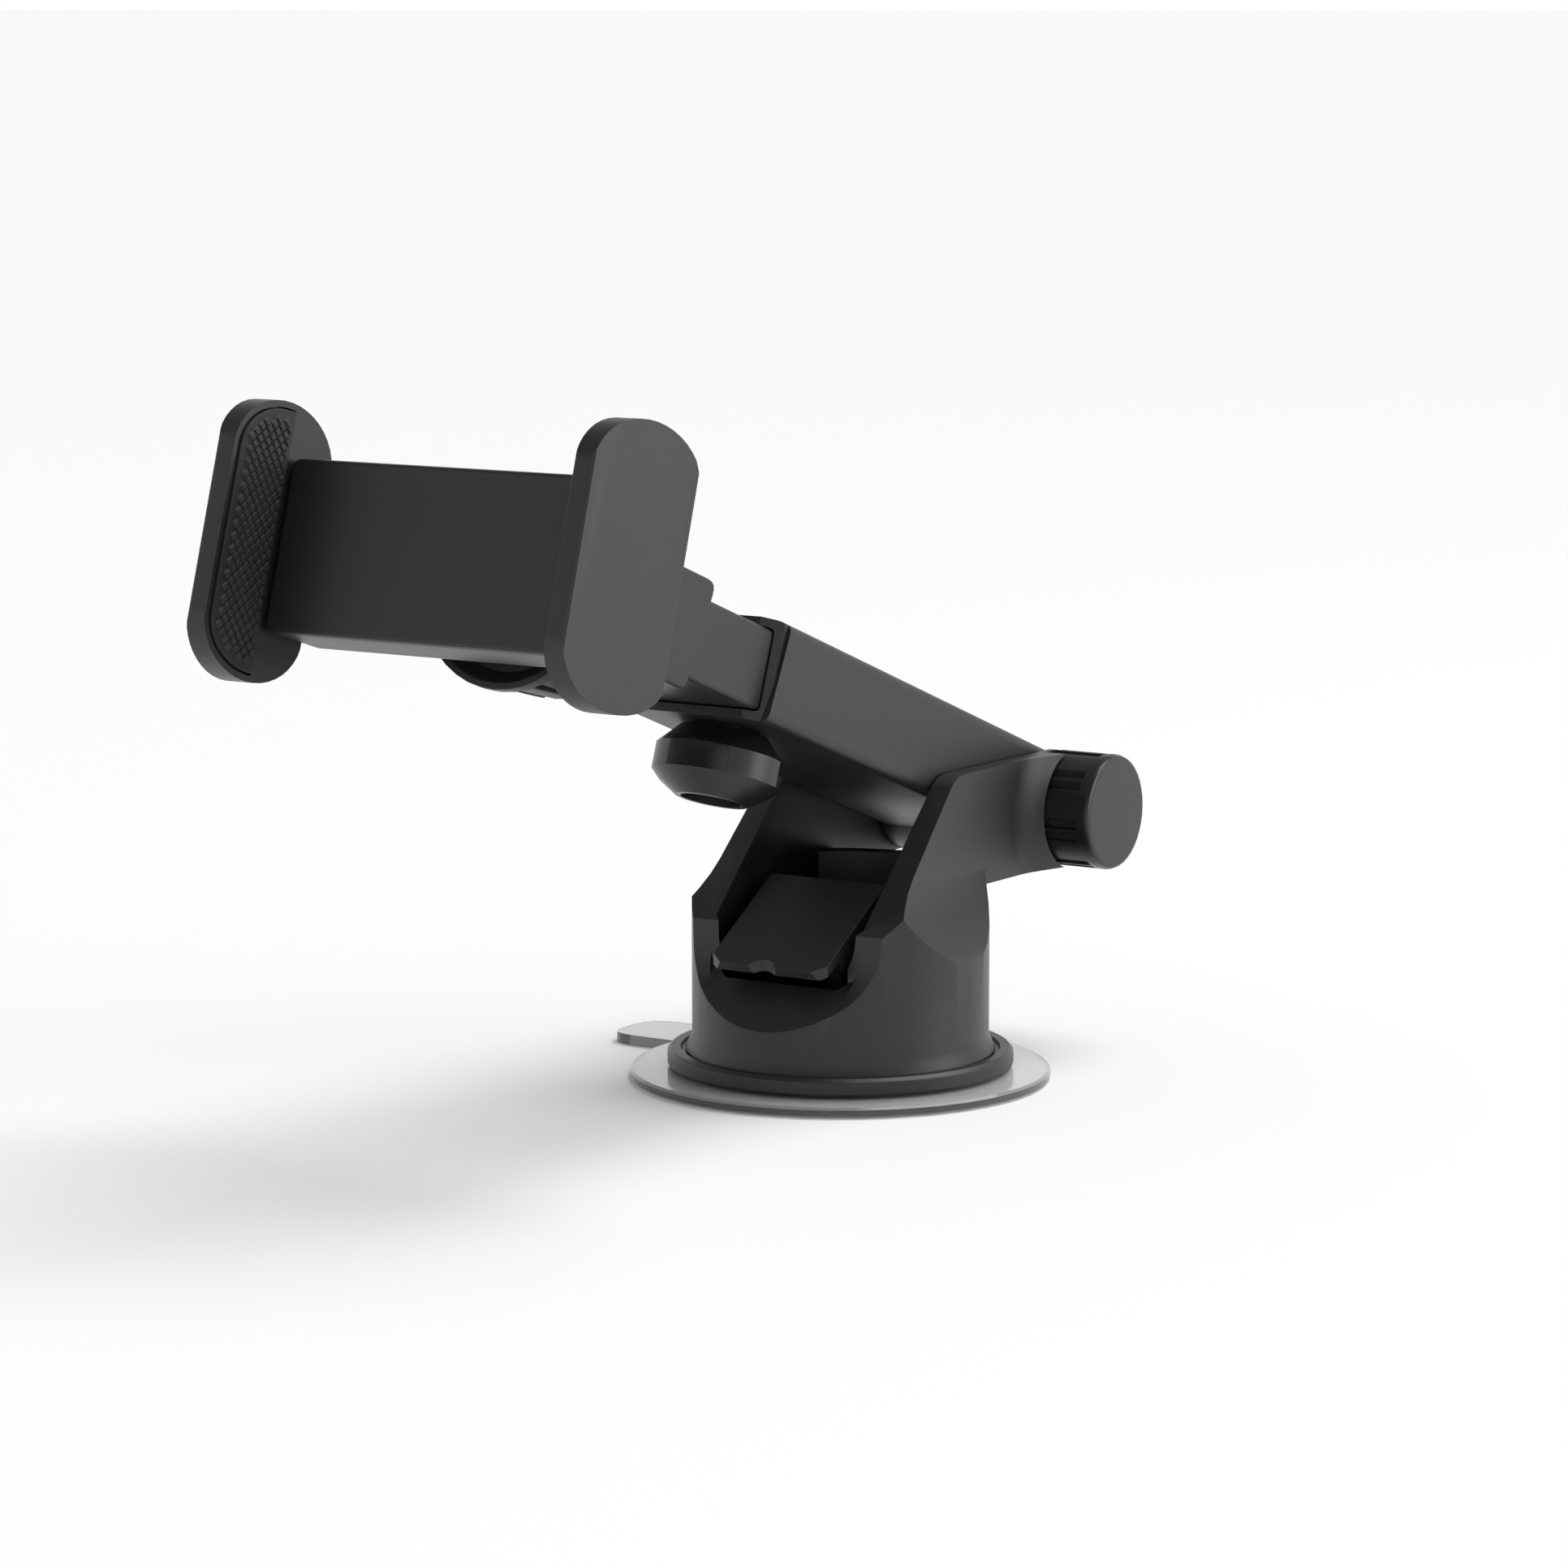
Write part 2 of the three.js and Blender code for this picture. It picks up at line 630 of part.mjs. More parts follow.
function outerArm() {
  const profile = rectangle(-armHalfWidth, armHalfWidth, armBottom, armTop, armEdge);
  const tube = plate('front', profile, 0, armLength + 2 * armTongue);
  const barrel = rod('x', armTop, -armHalfWidth, armHalfWidth, [0, 0, 0], 40);
  const clampAxis = [0, -clampAt, 0];
  const boss = rod('z', clampBossRadius, bossBottom, armBottom + 1, clampAxis, 32);
  const hollow = plate('front', rectangle(
    -armHalfWidth + armWall, armHalfWidth - armWall, armBase, armTop - armWall + 0.3, 1,
  ), armSolidEnd, wide * 2);
  const tools = [
    hollow,
    tubeEndTool(),
    rod('x', boltRadius + gap, -wide, wide, [0, 0, 0], 28),
    rod('z', shoeRadius + gap, shoeFloor, armBase + 1, clampAxis, 28),
    rod('z', clampScrewRadius + gap, bossBottom - 1, armBase, clampAxis, 24),
    rod('z', clampInsertRadius + gap, bossBottom - 1, insertCeiling, clampAxis, 6),
  ];
  for (const side of [-1, 1]) {
    const floor = side * (armHalfWidth - washerThickness - 0.1);
    const open = side * wide;
    tools.push(rod('x', washerRadius + gap, Math.min(floor, open), Math.max(floor, open)));
  }
  return without(joined(tube, barrel, boss), ...tools);
}

function washer(side) {
  const outer = side * (armHalfWidth + 0.1);
  const inner = outer - side * washerThickness + side * 0.1;
  return rod('x', washerRadius, Math.min(inner, outer), Math.max(inner, outer), [0, 0, 0], 40)
    .subtract(rod('x', boltRadius + gap, -wide, wide, [0, 0, 0], 28));
}

function clampInsert() {
  const at = [0, -clampAt, 0];
  const top = insertCeiling - gap / 2;
  return rod('z', clampInsertRadius, top - clampInsertHeight, top, at, 6)
    .subtract(rod('z', clampScrewRadius + gap, -wide, wide, at, 24));
}

// The knob hangs from its screw: a belt with scooped sides between two cones.
const clampKnobTop = armBottom - gap - 0.1;
const clampKnobBottom = clampKnobTop - clampKnobHeight;

function clampKnob() {
  const at = [0, -clampAt, 0];
  const middle = (clampKnobTop + clampKnobBottom) / 2;
  const body = turned('z', [
    [0, clampKnobBottom], [clampRecessRadius + 0.9, clampKnobBottom],
    [clampKnobRadius - 1.6, clampKnobBottom + 1.9], [clampKnobRadius, middle - clampKnobBelt / 2],
    [clampKnobRadius, middle + clampKnobBelt / 2], [clampKnobRadius - 1.8, clampKnobTop - 1.6],
    [clampBossRadius + 1.6, clampKnobTop], [0, clampKnobTop],
  ], at, 36);
  const scoopTool = 11;
  const scoops = Array.from({ length: clampLobes }, (_, i) => {
    const angle = degrees(clampLobePhase + (360 / clampLobes) * (i + 0.5));
    const reach = clampKnobRadius - clampScoopDepth + scoopTool;
    const place = [reach * Math.cos(angle), -clampAt + reach * Math.sin(angle), 0];
    return rod('z', scoopTool, middle - clampKnobBelt / 2, middle + clampKnobBelt / 2, place, 40);
  });
  const recess = rod('z', clampRecessRadius, -wide, clampKnobBottom + 1.4, at, 28);
  const bossRoom = rod('z', clampBossRadius + 0.6, bossBottom - 0.6, wide, at, 28);
  const screwRoom = rod('z', clampScrewRadius + gap, clampKnobBottom + 3, wide, at, 24);
  return without(body, ...scoops, recess, bossRoom, screwRoom);
}

function clampScrew() {
  return rod('z', clampScrewRadius, clampKnobBottom + 3 + gap, shoeFloor - 0.1,
    [0, -clampAt, 0], 24);
}

function innerArm() {
  const outside = rectangle(-innerHalfWidth, innerHalfWidth, innerBottom, innerTop, 0.8);
  const inside = rectangle(-innerHalfWidth + innerWall, innerHalfWidth - innerWall,
    innerBottom + innerWall, innerTop - innerWall);
  const end = headFront - headNose - gap;
  const tube = plate('front', outside, innerStart, end).subtract(
    plate('front', inside, innerStart - 1, end + 1),
  );
  const rib = box(-innerRib / 2, innerRib / 2, -headRear + 6, -innerStart,
    innerBottom + innerWall / 2, innerTop - innerWall / 2);
  return tube.add(rib).subtract(headScrewHole());
}

const headTop = innerTop + headWall + gap;
const headBottom = innerBottom - headWall - gap;
const headScrewAt = [0, -(headFront - headEdge - headNose - 0.4), 0];
const headScrewSeat = headBottom + 1.5;
const headScrewTip = innerBottom + innerWall;

function headScrewHole() {
  return screwHole('z', headScrewSeat, headScrewTip, headBottom - 1, headScrewAt);
}

function armHead() {
  const side = outline([
    [-headRear, headTop, headEdge], [-headFront, headTop, headEdge],
    [-headFront, headBottom, headEdge], [-headRear - headSlant, headBottom, headEdge],
  ]);
  const block = plate('x', side, -headHalfWidth, headHalfWidth, 0.8);
  const socket = box(-innerHalfWidth - gap, innerHalfWidth + gap, -headFront + headNose, 0,
    innerBottom - gap, innerTop + gap);
  const studHole = rod('front', studRadius + gap, 0, wide * 3, [0, 0, armMiddle], 24);
  return without(block, socket, studHole, headScrewHole());
}

function ballStud() {
  const flange = headFront + gap;
  const tail = headFront - headNose - studNutHeight - 1.4;
  const steps = 8;
  const neckAngle = Math.asin(neckRadius / ballRadius);
  const ball = Array.from({ length: steps + 1 }, (_, i) => {
    const angle = THREE.MathUtils.lerp(neckAngle, Math.PI, i / steps);
    return [i === steps ? 0 : ballRadius * Math.sin(angle), ballAt - ballRadius * Math.cos(angle)];
  });
  return turned('front', [
    [0, tail], [studRadius, tail], [studRadius, flange], [neckRadius + 1.4, flange],
    [neckRadius + 1.4, flange + 1], [neckRadius, flange + 1.4], ...ball,
  ], [0, 0, armMiddle], 24);
}

function studNut() {
  const seat = headFront - headNose - gap;
  return rod('front', studNutRadius, seat - studNutHeight, seat, [0, 0, armMiddle], 6)
    .subtract(rod('front', studRadius + gap, 0, wide * 3, [0, 0, armMiddle], 24));
}

piece(arm, 'outer_arm', outerArm(), plastic);
piece(arm, 'friction_washer_left', washer(-1), rubber);
piece(arm, 'friction_washer_right', washer(1), rubber);
piece(arm, 'clamp_insert', clampInsert(), brass);
piece(arm, 'clamp_shoe', rod('z', shoeRadius, shoeFloor + 0.1, armBase,
  [0, -clampAt, 0], 28), nylon);
piece(arm, 'clamp_knob', clampKnob(), plastic);
piece(arm, 'clamp_screw', clampScrew(), steel);
piece(arm, 'inner_arm', innerArm(), plastic);
piece(arm, 'arm_head', armHead(), plastic);
piece(arm, 'head_screw', screw('z', headScrewSeat, headScrewTip, headScrewAt), steel);
piece(arm, 'ball_stud', ballStud(), steel);
piece(arm, 'stud_nut', studNut(), steel);

// ---------------------------------------------------------------- ball joint and cradle
const ballCentre = new THREE.Vector3(0, -ballAt, armMiddle).applyEuler(arm.rotation).add(arm.position);
const cradle = new THREE.Group();
cradle.position.copy(ballCentre);
cradle.rotation.x = -degrees(cradleTilt);

const linerInner = ballRadius + gap;
const linerOuter = linerInner + linerThickness;
const cupInner = linerOuter + gap;
const cupOuter = cupInner + cupThickness;
const cupMouthAngle = degrees(128); // from the front pole back to the neck's opening

function arcProfile(radius, fromAngle, toAngle) {
  const steps = 7;
  return Array.from({ length: steps + 1 }, (_, i) => {
    const angle = THREE.MathUtils.lerp(fromAngle, toAngle, i / steps);
    return [angle === 0 ? 0 : radius * Math.sin(angle), radius * Math.cos(angle)];
  });
}

function ballLiner() {
  return turned('front', [
    ...arcProfile(linerOuter, 0, cupMouthAngle),
    ...arcProfile(linerInner, cupMouthAngle, 0),
  ], [0, 0, 0], 24);
}

// The cup closes over the liner, and its slotted skirt takes the ring nut.
function socketCup() {
  const flangeFront = trayBackAt - gap;
  const flangeRear = flangeFront - cupFlangeThickness;
  const mouth = cupInner * Math.cos(cupMouthAngle);
  const cup = turned('front', [
    [0, flangeFront], [cupFlangeRadius, flangeFront], [cupFlangeRadius, flangeRear],
    [cupOuter, flangeRear], [cupOuter, mouth],
    ...arcProfile(cupInner, cupMouthAngle, 0),
  ], [0, 0, 0], 24);
  const slots = [0, 60, 120].map((angle) => {
    const slot = new THREE.BoxGeometry(1.2, cupInner * 0.8 - mouth, wide);
    slot.translate(0, -(mouth - 1 + cupInner * 0.8) / 2, 0).rotateY(degrees(angle));
    return solid(slot);
  });
  return without(cup, ...slots);
}

// A castellated collar whose dished rim faces the tray.
function ringNut() {
  const inner = cupOuter + gap;
  const dish = nutRimAt - 1.8;
  const neck = nutRimRadius - 0.7;
  const body = turned('front', [
    [inner, nutRearAt], [nutRearRadius - 0.8, nutRearAt], [nutRearRadius, nutRearAt + 0.8],
    [neck, nutShoulderAt], [nutRimRadius, nutShoulderAt + 0.7], [nutRimRadius, nutRimAt],
    [nutRimRadius - 1.1, nutRimAt], [nutRimRadius - 3, dish], [inner, dish], [inner, nutRearAt],
  ], [0, 0, 0], 40);
  const grooves = Array.from({ length: nutGrooves }, (_, i) => {
    const length = nutShoulderAt - nutRearAt - 1;
    const groove = new THREE.BoxGeometry(nutGrooveWidth, length, 3);
    groove.translate(0, -(nutShoulderAt + nutRearAt) / 2, neck + 0.2);
    return solid(groove.rotateY((i * 2 * Math.PI) / nutGrooves));
  });
  return without(body, ...grooves);
}

// Screws that hold the tray's back to its front, between the two racks.
const trayScrewPlaces = [[-20, 0, 0], [20, 0, 0]];
const trayScrewSeat = trayBackAt + 0.3 + screwHeadHeight;
const trayScrewTip = trayBackAt + 9;
const trayFrontRear = trayBackAt + trayBackThickness + 0.1;
const rackRoom = { from: gearAt - gap, to: gearAt + gearThickness + gap };
const rackOuter = rackDepth + rackBack;

function trayHoles() {
  return trayScrewPlaces.map((at) => screwHole('front', trayScrewSeat, trayScrewTip, 0, at));
}

function trayBack() {
  const panel = plate('front', rectangle(-trayHalfLength, trayHalfLength, -trayHalfHeight,
    trayHalfHeight, trayEdge), trayBackAt, trayBackAt + trayBackThickness);
  const post = rod('front', gearPostRadius, trayBackAt + 1, gearAt + gearThickness - 0.2,
    [0, 0, 0], 28);
  return without(joined(panel, post, ...springPegs('tray')), ...trayHoles());
}

function trayFront() {
  const shape = rectangle(-trayHalfLength, trayHalfLength, -trayHalfHeight, trayHalfHeight, trayEdge);
  const shell = plate('front', shape, trayFrontRear, trayFrontAt, 0.8);
  const squareRear = plate('front', shape, trayFrontRear, trayFrontAt - 3);
  const hollow = box(-trayHalfLength + trayWall, trayHalfLength - trayWall, -trayFrontAt + trayWall, 0,
    -trayHalfHeight + trayWall, trayHalfHeight - trayWall);
  const rackSlots = [-1, 1].map((side) => {
    const [z0, z1] = [side * (rackOuter + gap), side * (pitchRadius - 1.4)];
    const [x0, x1] = [side * (trayHalfLength - trayWall - 1), side * wide];
    return box(Math.min(x0, x1), Math.max(x0, x1), -rackRoom.to, -rackRoom.from,
      Math.min(z0, z1), Math.max(z0, z1));
  });
  const bosses = trayScrewPlaces.map((at) => (
    rod('front', screwRadius + gap + 1.3, trayFrontRear, trayFrontAt - 1, at, 24)
  ));
  return without(joined(without(shell.add(squareRear), hollow, ...rackSlots), ...bosses), ...trayHoles());
}

// One rack is below the gear and belongs to the left jaw, the other above it to the right.
function rackTeeth(side, phase, from, to) {
  const root = pitchRadius + 1.25 * gearModule;
  const tip = pitchRadius - 0.8 * gearModule;
  const [halfRoot, halfTip] = [toothPitch * 0.31, toothPitch * 0.09];
  const teeth = [];
  const first = Math.ceil((from - phase) / toothPitch);
  for (let i = first; phase + i * toothPitch < to; i += 1) {
    const x = phase + i * toothPitch;
    const corners = [
      [x - halfRoot, side * (root + 0.2)], [x + halfRoot, side * (root + 0.2)],
      [x + halfTip, side * tip], [x - halfTip, side * tip],
    ];
    const ordered = side > 0 ? corners.reverse() : corners;
    teeth.push(plate('front', outline(ordered), gearAt, gearAt + gearThickness));
  }
  return teeth;
}

function rack(side) {
  const root = side * (pitchRadius + 1.25 * gearModule);
  const back = side * rackOuter;
  const [free, held] = [-side * rackFree, side * (jawInner + 1)];
  const bar = box(Math.min(free, held), Math.max(free, held), -gearAt - gearThickness, -gearAt,
    Math.min(root, back), Math.max(root, back));
  const [from, to] = side > 0 ? [free + 1.6, 4] : [-4, free - 1.6];
  return joined(bar, ...rackTeeth(side, toothPitch / 2, from, to), ...springPegs(side));
}

function pinion() {
  const root = gearRoot - 0.4;
  const tip = pitchRadius + 0.8 * gearModule;
  const [halfRoot, halfTip] = [0.98 * gearModule, 0.32 * gearModule];
  const wheel = rod('front', gearRoot, gearAt, gearAt + gearThickness, [0, 0, 0], 40);
  const teeth = Array.from({ length: gearTeeth }, (_, i) => {
    const angle = (i * 2 * Math.PI) / gearTeeth + Math.PI / 2;
    const tooth = [[root, -halfRoot], [tip, -halfTip], [tip, halfTip], [root, halfRoot]].map(([r, s]) => [
      r * Math.cos(angle) - s * Math.sin(angle), r * Math.sin(angle) + s * Math.cos(angle),
    ]);
    return plate('front', outline(tooth), gearAt, gearAt + gearThickness);
  });
  const bore = rod('front', gearPostRadius + gap, 0, wide, [0, 0, 0], 28);
  return without(joined(wheel, ...teeth), bore);
}

// Each spring lies behind a rack, from a peg on the rack's free end to a peg on the tray.
const rackFree = jawOpening + 2;
const pegWidth = 1.8;
const springLane = (rackOuter + trayHalfHeight - trayWall) / 2;
const springInner = rackFree + 0.4;
const springOuter = trayHalfLength - trayWall - pegWidth - 0.8;

function springPegs(owner) {
  const [rear, front] = [gearAt + 0.8, gearAt + gearThickness - 0.8];
  if (owner === 'tray') {
    return [-1, 1].map((side) => rod('front', pegWidth / 2, trayBackAt + 1, front,
      [-side * (springOuter + 0.4 + pegWidth / 2), 0, side * springLane], 16));
  }
  const [x0, x1] = [-owner * (rackFree - pegWidth), -owner * rackFree];
  const [z0, z1] = [owner * (rackOuter - 0.5), owner * (springLane + springRadius)];
  return [box(Math.min(x0, x1), Math.max(x0, x1), -front, -rear, Math.min(z0, z1), Math.max(z0, z1))];
}

function jawSpring(side) {
  const stepsPerTurn = 8;
  const steps = springTurns * stepsPerTurn;
  const coil = Array.from({ length: steps + 1 }, (_, i) => {
    const angle = (i / stepsPerTurn) * 2 * Math.PI;
    return new THREE.Vector3(
      -side * THREE.MathUtils.lerp(springInner, springOuter, i / steps),
      springRadius * Math.cos(angle) - gearAt - gearThickness / 2,
      springRadius * Math.sin(angle) + side * springLane,
    );
  });
  const wire = new THREE.Shape().absarc(0, 0, springWire, 0, 2 * Math.PI, false);
  return solid(new THREE.ExtrudeGeometry(wire, {
    steps, curveSegments: 2, bevelEnabled: false, extrudePath: new THREE.CatmullRomCurve3(coil),
  }));
}

// A jaw seen from its end: straight edges between elliptical ends.
function jawShape(inset = 0) {
  const middle = -(jawFrontAt + jawRearAt) / 2;
  const halfDepth = (jawFrontAt - jawRearAt) / 2 - inset;
  const endHeight = jawHalfHeight - jawStraight - inset;
  const shape = new THREE.Shape();
  shape.absellipse(middle, jawStraight, halfDepth, endHeight, 0, Math.PI, false, 0);
  shape.absellipse(middle, -jawStraight, halfDepth, endHeight, Math.PI, 2 * Math.PI, false, 0);
  return shape;
}

// A jaw seen from above: its outer face leans out towards the tray.
function jawWedge(side) {
  const front = jawInner + jawThickness;
  const rear = jawInner + jawRearThickness;
  const corners = [
    [jawInner, -jawRearAt, 0.4], [rear, -jawRearAt, 2.2], [front, -jawFrontAt, jawBevel],
    [jawInner, -jawFrontAt, 0.4],
  ];
  const shape = outline(corners.map(([x, y, rounding]) => [side * x, y, rounding]));
  return plate('z', shape, -wide, wide, 0, 3);
}

function between(a, b) {
  return [Math.min(a, b), Math.max(a, b)];
}

function jaw(side) {
  const outer = side * (jawInner + jawRearThickness);
  const blade = plate('x', jawShape(), ...between(side * jawInner, outer), 0, 10).intersect(jawWedge(side));
  const depth = between(side * (jawInner + padRecess), side * (jawInner - gap * 2));
  const pocket = plate('x', jawShape(padInset - gap), ...depth, 0, 10).intersect(
    box(-wide, wide, -wide, -padRearAt + gap, -wide, wide),
  );
  return without(blade, pocket).add(rack(side));
}

const padRearAt = trayFrontAt + 0.9;

function jawPad(side) {
  const depth = between(side * (jawInner + padRecess - gap), side * (jawInner - padProud));
  return plate('x', jawShape(padInset), ...depth, 0, 10).intersect(
    box(-wide, wide, -wide, -padRearAt, -wide, wide),
  );
}

piece(cradle, 'ball_liner', ballLiner(), nylon);
piece(cradle, 'socket_cup', socketCup(), plastic);
piece(cradle, 'ring_nut', ringNut(), plastic);
piece(cradle, 'tray_back', trayBack(), plastic);
piece(cradle, 'tray_front', trayFront(), plastic);
trayScrewPlaces.forEach((at, i) => {
  piece(cradle, `tray_screw_${i + 1}`, screw('front', trayScrewSeat, trayScrewTip, at), steel);
});
piece(cradle, 'jaw_pinion', pinion(), nylon);
for (const [name, side] of [['left', -1], ['right', 1]]) {
  piece(cradle, `${name}_jaw`, jaw(side), plastic);
  piece(cradle, `${name}_jaw_pad`, jawPad(side), rubber);
  piece(cradle, `${name}_jaw_spring`, jawSpring(side), steel);
}

const mount = new THREE.Group();
mount.add(base, arm, cradle);
export default mount;
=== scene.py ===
# %% [markdown]
# # A phone mount for a car
# The object is a clear suction disc with a round base on it, an arm that tilts and slides, a ball
# joint and a cradle with two sprung jaws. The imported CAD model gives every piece's place. Here
# each visible piece gets rounded edges, surface detail and a finish of its own.

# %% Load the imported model
import json
import math
import bpy
from mathutils import Matrix, Vector


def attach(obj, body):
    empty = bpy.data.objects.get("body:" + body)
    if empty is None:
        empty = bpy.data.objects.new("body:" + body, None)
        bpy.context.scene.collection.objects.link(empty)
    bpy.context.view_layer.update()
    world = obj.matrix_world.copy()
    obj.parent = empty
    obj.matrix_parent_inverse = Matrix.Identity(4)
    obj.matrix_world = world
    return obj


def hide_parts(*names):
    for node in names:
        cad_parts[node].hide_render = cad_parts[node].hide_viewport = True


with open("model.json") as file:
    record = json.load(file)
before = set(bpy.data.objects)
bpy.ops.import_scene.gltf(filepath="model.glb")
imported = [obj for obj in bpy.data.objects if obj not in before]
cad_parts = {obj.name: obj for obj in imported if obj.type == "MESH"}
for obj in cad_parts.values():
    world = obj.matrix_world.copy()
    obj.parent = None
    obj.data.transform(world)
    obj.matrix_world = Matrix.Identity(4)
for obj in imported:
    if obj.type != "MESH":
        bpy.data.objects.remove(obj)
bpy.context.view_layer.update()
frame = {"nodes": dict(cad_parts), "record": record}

MM = 0.001
print("pieces in the frame:", len(frame["nodes"]))

# %% [markdown]
# ## Where things are
# The cradle leans back, so it has its own set of directions. They are read from a joint: the
# cradle rolls about the line its face points in, through the middle of the ball.

# %% Directions of the cradle
def joint_data(name):
    for joint in frame["record"]["behaviour"]["joints"]:
        if joint["name"] == name:
            return joint
    raise KeyError(name)


def leaning_frame(origin, outwards):
    """A placement whose -Y points outwards and whose X stays level."""
    x_axis = Vector((1, 0, 0))
    y_axis = -Vector(outwards).normalized()
    z_axis = x_axis.cross(y_axis)
    turn = Matrix((x_axis, y_axis, z_axis)).transposed().to_4x4()
    return Matrix.Translation(Vector(origin)) @ turn


ball = Vector(joint_data("head_tilt")["pos_m"])
cradle_frame = leaning_frame(ball, joint_data("head_roll")["axis"])
print("middle of the ball", ball)

# %% [markdown]
# ## The camera
# A long lens from the right and slightly above keeps the arm's sides nearly parallel. The camera
# comes first, so that everything made later can be looked at.

# %% Camera
camera = bpy.data.objects.new("camera", bpy.data.cameras.new("camera"))
bpy.context.collection.objects.link(camera)
camera.location = (0.45966, -0.72358, 0.17608)
camera.rotation_euler = Vector((-0.5395, 0.8291, -0.1466)).to_track_quat("-Z", "Y").to_euler()
camera.data.sensor_width = 36
camera.data.lens = 120.47
camera.data.dof.use_dof = False
bpy.context.scene.camera = camera

# %% [markdown]
# ## Shared surface effects
# Moulded plastic carries the fine grain of its steel mould, and its edges are polished by hands.
# Both are used by several finishes, so each is a shader node group with its own inputs. The
# groups give out only values; every shader stays in its own material.

# %% Node helpers
def new_group(name, inputs, outputs):
    group = bpy.data.node_groups.new(name, "ShaderNodeTree")
    for label, kind, value in inputs:
        socket = group.interface.new_socket(label, in_out="INPUT", socket_type=kind)
        if value is not None:
            socket.default_value = value
    for label, kind in outputs:
        group.interface.new_socket(label, in_out="OUTPUT", socket_type=kind)
    return group, group.nodes.new("NodeGroupInput"), group.nodes.new("NodeGroupOutput")


def math_node(tree, operation, first, second=None, clamp=False):
    node = tree.nodes.new("ShaderNodeMath")
    node.operation = operation
    node.use_clamp = clamp
    for place, value in enumerate((first, second)):
        if value is None:
            continue
        if hasattr(value, "is_linked"):
            tree.links.new(value, node.inputs[place])
        else:
            node.inputs[place].default_value = value
    return node.outputs[0]


# %% Mould grain
grain, grain_in, grain_out = new_group(
    "mould_grain",
    [("Position", "NodeSocketVector", None), ("Grain per metre", "NodeSocketFloat", 3200.0),
     ("Base roughness", "NodeSocketFloat", 0.45), ("Roughness change", "NodeSocketFloat", 0.08)],
    [("Height", "NodeSocketFloat"), ("Roughness", "NodeSocketFloat"), ("Cloud", "NodeSocketFloat")],
)
fine = grain.nodes.new("ShaderNodeTexNoise")
fine.inputs["Detail"].default_value = 3
grain.links.new(grain_in.outputs["Position"], fine.inputs["Vector"])
grain.links.new(grain_in.outputs["Grain per metre"], fine.inputs["Scale"])
cloud = grain.nodes.new("ShaderNodeTexNoise")
cloud.inputs["Scale"].default_value = 55
cloud.inputs["Detail"].default_value = 4
grain.links.new(grain_in.outputs["Position"], cloud.inputs["Vector"])
centred = math_node(grain, "SUBTRACT", cloud.outputs["Fac"], 0.5)
change = math_node(grain, "MULTIPLY", centred, grain_in.outputs["Roughness change"])
total = math_node(grain, "ADD", change, grain_in.outputs["Base roughness"])
grain.links.new(fine.outputs["Fac"], grain_out.inputs["Height"])
grain.links.new(total, grain_out.inputs["Roughness"])
grain.links.new(cloud.outputs["Fac"], grain_out.inputs["Cloud"])

# %% Worn edges
wear, wear_in, wear_out = new_group(
    "worn_edges",
    [("Position", "NodeSocketVector", None), ("Sharpness", "NodeSocketFloat", 9.0)],
    [("Mask", "NodeSocketFloat")],
)
shape = wear.nodes.new("ShaderNodeNewGeometry")
lifted = math_node(wear, "SUBTRACT", shape.outputs["Pointiness"], 0.53)
sharper = math_node(wear, "MULTIPLY", lifted, wear_in.outputs["Sharpness"], clamp=True)
patches = wear.nodes.new("ShaderNodeTexNoise")
patches.inputs["Scale"].default_value = 300
wear.links.new(wear_in.outputs["Position"], patches.inputs["Vector"])
wear.links.new(math_node(wear, "MULTIPLY", sharper, patches.outputs["Fac"]), wear_out.inputs["Mask"])

# %% [markdown]
# ## Finishes
# All the black pieces are the same satin plastic, but the hand knobs are a little glossier and
# the grip pads are soft rubber.

# %% A finish for plastic, rubber or nylon
def place_group(tree, group, values, position):
    node = tree.nodes.new("ShaderNodeGroup")
    node.node_tree = group
    for label, value in values.items():
        node.inputs[label].default_value = value
    tree.links.new(position, node.inputs["Position"])
    return node


def plastic_finish(name, dark, light, roughness, grain_scale, depth, change=0.08):
    material = bpy.data.materials.new(name)
    material.use_nodes = True
    tree = material.node_tree
    shader = tree.nodes["Principled BSDF"]
    shader.inputs["Specular IOR Level"].default_value = 0.5
    position = tree.nodes.new("ShaderNodeTexCoord").outputs["Object"]
    surface = place_group(tree, grain, {"Grain per metre": grain_scale, "Base roughness": roughness,
                                        "Roughness change": change}, position)
    edges = place_group(tree, wear, {"Sharpness": 9.0}, position)
    colour = tree.nodes.new("ShaderNodeMix")
    colour.data_type = "RGBA"
    colour.inputs["A"].default_value = (*dark, 1)
    colour.inputs["B"].default_value = (*light, 1)
    amount = math_node(tree, "MULTIPLY", surface.outputs["Cloud"], 0.35)
    amount = math_node(tree, "ADD", amount, edges.outputs["Mask"], clamp=True)
    tree.links.new(amount, colour.inputs["Factor"])
    tree.links.new(colour.outputs["Result"], shader.inputs["Base Color"])
    tree.links.new(surface.outputs["Roughness"], shader.inputs["Roughness"])
    bump = tree.nodes.new("ShaderNodeBump")
    bump.inputs["Distance"].default_value = depth
    bump.inputs["Strength"].default_value = 0.5
    tree.links.new(surface.outputs["Height"], bump.inputs["Height"])
    tree.links.new(bump.outputs["Normal"], shader.inputs["Normal"])
    return material


